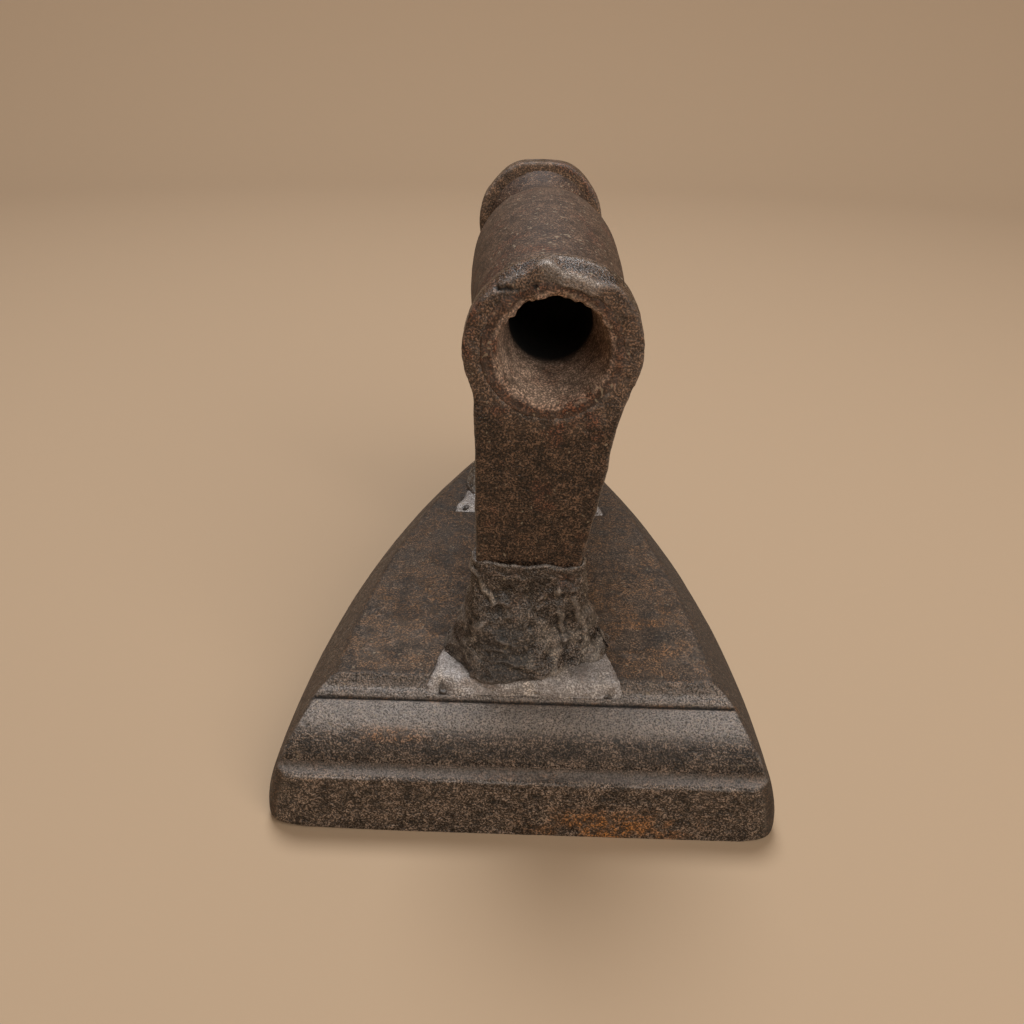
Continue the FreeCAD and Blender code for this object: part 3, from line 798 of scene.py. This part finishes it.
def wear_mouth(surface, end):
    """Wear one mouth of the bore; gives masks of the tube's end face, of the mouth, whose walls are
    painted light as if lit and partly as dust, and of the bore beyond it, which is painted dark as
    shade."""
    points = surface.points
    radius, angle, depth = eye_place(points, end)
    inside = ramp(radius, MOUTH_RADIUS[end] + 1.0 * MM, MOUTH_RADIUS[end] + 0.4 * MM)
    lower = 0.35 + 0.65 * ramp(-np.sin(np.radians(angle)), -0.2, 0.7)
    rim = hump(radius, MOUTH_RADIUS[end], 2.2 * MM) * ramp(depth, 4 * MM, 1.5 * MM)
    surface.smooth(rounds_at(36), rim * lower)
    upper = ramp(angle, 20, 45) * ramp(angle, 165, 140)
    ragged = 0.65 * fractal(points, 2.6 * MM, 80, 2, 0.6) * rim * upper
    push_radially(points, end, ragged * MM)
    spigot = ramp(radius, SPIGOT_RADIUS[end] - 0.8 * MM, SPIGOT_RADIUS[end] - 0.2 * MM)
    spigot *= ramp(depth, 4.6 * MM, 3.6 * MM)
    push_radially(points, end, 0.45 * MM * spigot)
    end_face = ramp(depth, 1.0 * MM, 0.3 * MM)
    mouth = inside * ramp(depth, MOUTH_DEPTH + 4 * MM, MOUTH_DEPTH)
    bore = ramp(depth, MOUTH_DEPTH - 2 * MM, MOUTH_DEPTH + 3 * MM) * inside
    return end_face, mouth, bore * ramp(depth, 55 * MM, 50 * MM)


def wear_grip(surface):
    surface.smooth(3)
    points = surface.points
    rough, dusty, sooty = np.zeros((3, len(points)))
    for end in ("rear", "front"):
        end_face, mouth, bore = wear_mouth(surface, end)
        rough = np.maximum(rough, end_face)
        dusty = np.maximum(dusty, mouth)
        sooty = np.maximum(sooty, bore)

    relief = 0.08 * noise(points, 9 * MM, 70) + 0.035 * noise(points, 4 * MM, 71)
    relief += (0.022 + 0.07 * rough + 0.04 * dusty) * fractal(points, 1.2 * MM, 72, 2, 0.7)
    relief += 0.16 * rough * fractal(points, 3.0 * MM, 73, 2)
    relief -= 0.07 * pits(points, 3.0 * MM, 0.5 * MM, 0.25, 74)
    crack = eye_crack(points)
    surface.raise_by((relief - CRACK_DEPTH * crack) * MM)
    blotch = 0.5 + 0.5 * fractal(points, 7 * MM, 75, 3)
    # The mouths are painted light as lit walls, partly dust; the bore beyond them is painted dark as
    # shade.
    surface.paint(rusted=(0.4 * rough + 0.5 * ramp(blotch, 0.6, 0.85)) * (1 - sooty),
                  dusty=np.maximum(dusty, 0.06), sooty=np.maximum(sooty, CRACK_SOOT * crack))


def make_handle():
    leg = iron("forged_iron", (14, 7, 4), (124, 96, 76), (112, 64, 42), dust=(112, 89, 71),
               worn=(150, 140, 132), roughness=0.3, ior=1.5, grain_depth=0.22 * MM, edge_wear=0.25)
    for number, end in enumerate(("rear", "front")):
        surface = Surface(end + "_leg", LEG_VOXEL)
        wear_leg(surface, end, LEG_SEED + SEED_SPACING * number)
        surface.finish(leg, end + "_leg_iron", LEG_TRIANGLES)
    # The grip's light dust colour is also the painted light of the lit mouth walls.
    grip = iron("barrel_iron", (40, 27, 19), (112, 84, 64), (108, 66, 44), dust=(152, 129, 112),
                roughness=0.58, ior=1.4, edge_wear=0.15, fleck_start=0.74)
    surface = Surface("grip_tube", GRIP_VOXEL)
    wear_grip(surface)
    surface.finish(grip, "grip_iron", GRIP_TRIANGLES)


# ---------------------------------------------------------------- feet of the legs
COLLAR_RIDGES = [
    [(-10.5, 52.5), (-6.6, 46.0)],
    [(-8.6, 43.0), (-10.6, 38.0), (-12.8, 32.5)],
    [(5.8, 49.0), (6.6, 43.0), (7.6, 36.0)],
    [(8.6, 47.0), (12.2, 34.0)]]  # mm across and mm up


def collar_ridges(across, height):
    """1 on the raised streaks where the metal was run in and smeared down."""
    place = np.stack([across, height], axis=1) / MM
    flat = np.stack([across, height, 0 * across], axis=1)
    place += 0.7 * np.stack([noise(flat, 3.5 * MM, 95), noise(flat, 3.5 * MM, 96)], axis=1)
    nearest = np.min([along_path(place, path) for path in COLLAR_RIDGES], axis=0)
    return ramp(nearest, 0.95, 0.15) * ramp(noise(flat, 4.5 * MM, 97), -0.7, 0.2)


def tongue_creases(points, across, height, tongue, seed):
    """Curved wrinkles on the collar's tongue, in millimetres."""
    away = np.hypot(across + 4 * MM, height - BODY_TOP - 17 * MM)
    away = away + 1.5 * MM * noise(points, 5 * MM, seed + 2)
    away = away + 0.5 * MM * noise(points, 2.2 * MM, seed + 6)
    rings = np.stack([away, across * 0.35, 0 * away], axis=1)
    creases = 1 - 2 * np.abs(noise(rings, 2.6 * MM, seed + 7))
    return 0.42 * creases * tongue * ramp(away, 5 * MM, 10 * MM)


def wear_collar(surface, end, seed):
    """Metal run in round the leg's foot: a lumpy, wrinkled skirt with a thick tongue on the
    side that faces away from the grip."""
    surface.smooth(4)
    points = surface.points
    low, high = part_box(end + "_foot_collar")
    middle = (low + high) / 2
    outward = -1 if end == "rear" else 1
    across = points[:, 0] - middle.x
    out = (points[:, 1] - middle.y) * outward
    height = points[:, 2].copy()
    share = np.clip((height - BODY_TOP) / (high.z - BODY_TOP), 0, 1)

    facing = ramp(out, -2 * MM, 4 * MM)
    recess = 5.0 * ramp(across, 1 * MM, 13 * MM) + 3.2 * ramp(across, -9 * MM, -15 * MM)
    points[:, 1] -= outward * recess * MM * facing * ramp(1 - share, 0.15, 0.95)
    tongue = hump(across, -4.5 * MM, 9.5 * MM) * facing * ramp(share, 0.72, 0.25)
    points[:, 1] += outward * 1.6 * MM * tongue

    folds = 1 - np.abs(fractal(points, 6.5 * MM, seed, 2)) * 2
    relief = 0.55 * noise(points, 7 * MM, seed + 1) * ramp(share, 1.0, 0.6)
    relief += 0.55 * folds * ramp(share, 0.98, 0.7) * (1 - 0.5 * tongue)
    relief += tongue_creases(points, across, height, tongue, seed)
    relief += 0.17 * fractal(points, 1.6 * MM, seed + 3, 2, 0.6)
    relief -= 0.2 * pits(points, 3.0 * MM, 0.8 * MM, 0.3, seed + 4)
    notch = hump(across, 7.5 * MM, 3.4 * MM) * hump(height, high.z - 3.0 * MM, 3.4 * MM) * facing
    relief -= 0.5 * notch * ramp(fractal(points, 2.5 * MM, seed + 8, 2), -0.4, 0.3)
    ridges = collar_ridges(across, height) * facing
    relief += 0.5 * ridges
    surface.raise_by(relief * MM)
    edge_wave = noise(points * (1, 1, 0.2), 4.5 * MM, seed + 9)
    points[:, 2] += 0.7 * MM * edge_wave * ramp(share, 0.8, 0.96)

    blotch = 0.5 + 0.5 * fractal(points, 5 * MM, seed + 5, 3)
    smeared = 0.5 * ramp(share, 0.75, 0.1) * (1 - tongue) * ramp(blotch, 0.35, 0.6)
    surface.paint(rusted=0.9 * notch + 0.3 * ramp(blotch, 0.7, 0.9),
                  polished=0.4 * ramp(blotch, 0.55, 0.85) * ramp(share, 0.35, 0.0),
                  dusty=np.maximum(smeared, 0.5 * ridges), sooty=0.4 * tongue * (1 - ridges))


def wear_plug(surface, end, seed):
    """Poured metal that fills the socket and has run a little way over its edges."""
    points = surface.points
    low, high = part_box(end + "_socket_plug")
    middle = (low + high) / 2
    height = points[:, 2].copy()
    upper = ramp(height, high.z - 6 * MM, high.z - 2 * MM)
    surface.smooth(rounds_at(50), upper)
    away = (points - (middle.x, middle.y, 0)) * (1, 1, 0)
    spread = 0.9 + 0.7 * fractal(points, 6 * MM, seed, 3)
    points += unit(away) * (spread * MM * upper)[:, None]
    points[:, 2] += 0.22 * MM * upper
    relief = 0.12 * noise(points, 6 * MM, seed + 1) + 0.05 * noise(points, 2.5 * MM, seed + 2)
    relief += 0.035 * fractal(points, 1.1 * MM, seed + 3, 2, 0.7)
    relief -= 0.12 * pits(points, 3.2 * MM, 0.6 * MM, 0.3, seed + 4)
    surface.raise_by(relief * MM * upper)
    blotch = 0.5 + 0.5 * fractal(points, 5 * MM, seed + 5, 3)
    surface.paint(rusted=0.5 * ramp(blotch, 0.62, 0.85), polished=0.5 * ramp(blotch, 0.2, 0.6),
                  dusty=0.4 * ramp(blotch, 0.5, 0.2))


def wear_pins(surface, end):
    """Pin ends that have been struck: a low dome with a curved dint."""
    points = surface.points
    surface.smooth(2)
    low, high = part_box(end + "_plug_pins")
    upper = ramp(points[:, 2], high.z - 2.5 * MM, high.z - 1.5 * MM)
    points[:, 2] += 0.32 * MM * upper
    for side in (-1, 1):
        centre = (side * (high.x - 0.8 * MM), (low.y + high.y) / 2)
        aside, along = points[:, 0] - centre[0], points[:, 1] - centre[1]
        dint = hump(np.hypot(aside, along), 0.45 * MM, 0.22 * MM)
        dint *= ramp(np.abs(np.degrees(np.arctan2(along, aside)) - 40), 30, 60)
        points[:, 2] -= 0.22 * MM * dint * upper
    surface.paint()


def make_feet():
    collar = iron("run_in_metal", (12, 8, 6), (138, 121, 108), (106, 70, 48), dust=(140, 130, 118),
                  roughness=0.22, ior=1.6, grain_depth=0.3 * MM, edge_wear=0.6)
    plug = iron("patch_metal", (100, 92, 88), (214, 205, 200), (128, 92, 66), dust=(156, 140, 122),
                roughness=0.28, grain_depth=0.25 * MM)
    pin = iron("pin_metal", (60, 52, 47), (110, 100, 92), (112, 72, 42))
    for number, end in enumerate(("rear", "front")):
        surface = Surface(end + "_foot_collar", COLLAR_VOXEL)
        wear_collar(surface, end, COLLAR_SEED + SEED_SPACING * number)
        surface.finish(collar, "collar_iron", COLLAR_TRIANGLES)
        surface = Surface(end + "_socket_plug", PLUG_VOXEL)
        wear_plug(surface, end, PLUG_SEED + SEED_SPACING * number)
        surface.finish(plug, "plug_iron", PLUG_TRIANGLES)
        surface = Surface(end + "_plug_pins", PIN_VOXEL)
        wear_pins(surface, end)
        surface.finish(pin, "pin_iron", PIN_TRIANGLES)


bpy.context.scene.view_settings.view_transform = "Standard"
make_camera()
make_floor()
make_world()
for light in LIGHTS:
    make_light(*light)
make_body()
make_handle()
make_feet()
